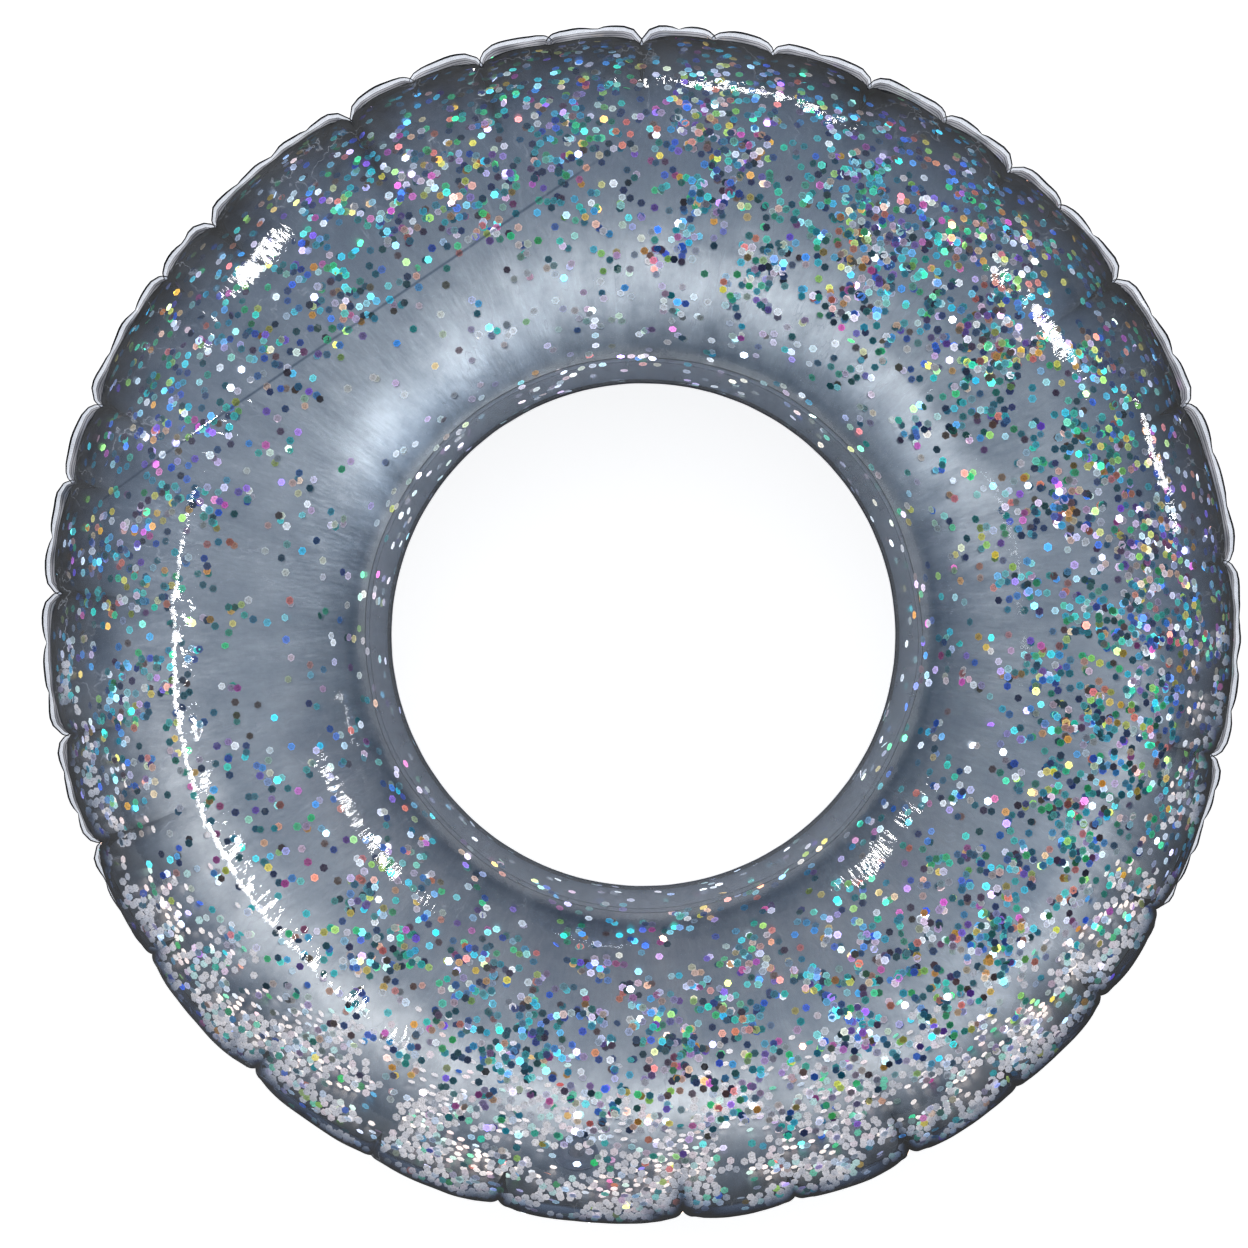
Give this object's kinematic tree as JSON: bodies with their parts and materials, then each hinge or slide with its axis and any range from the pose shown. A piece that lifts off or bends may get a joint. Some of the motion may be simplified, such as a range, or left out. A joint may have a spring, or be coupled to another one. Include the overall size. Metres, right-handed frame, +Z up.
{
  "type": "inflatable swim ring",
  "caption": "Clear film swim ring with loose glitter inside, welded seams and a push-in inflation valve.",
  "frame": {"origin": "middle of the underside, on the surface that the ring rests on, on the ring's axis", "axes": "+Z up along the ring's axis; the inflation valve is low on the -Y side"},
  "size_m": [1.0699, 1.07, 0.293],
  "materials": {
    "smoke_film": "clear glossy smoke-tinted PVC film",
    "weld_strip": "milky where the two films are fused",
    "glitter": "holographic polyester film",
    "valve_clear": "soft smoke-tinted PVC moulding"
  },
  "bodies": {
    "ring": {"upper_panel": "smoke_film", "lower_panel": "smoke_film", "outer_weld_strip": "weld_strip", "inner_weld_strip": "weld_strip", "glitter_flakes": "glitter", "valve_base": "valve_clear", "valve_diaphragm": "valve_clear"},
    "stem": {"valve_stem": "valve_clear", "plug_tether": "valve_clear"},
    "flap": {"valve_flap": "valve_clear"},
    "plug": {"valve_plug": "valve_clear"}
  },
  "joints": [
    {"name": "stem_slide", "type": "slide", "parent": "ring", "child": "stem", "axis": [-0.0934, -0.7603, -0.6428], "range_m": [0, 0.012]},
    {"name": "plug_hinge", "type": "hinge", "parent": "stem", "child": "plug", "pos_m": [-0.06943, -0.48747, 0.04893], "axis": [0.0783, 0.638, -0.766], "range_deg": [0, 160]},
    {"name": "flap_hinge", "type": "hinge", "parent": "stem", "child": "flap", "pos_m": [-0.06353, -0.47183, 0.06256], "axis": [-0.0783, -0.638, 0.766], "range_deg": [0, 55]}
  ]
}
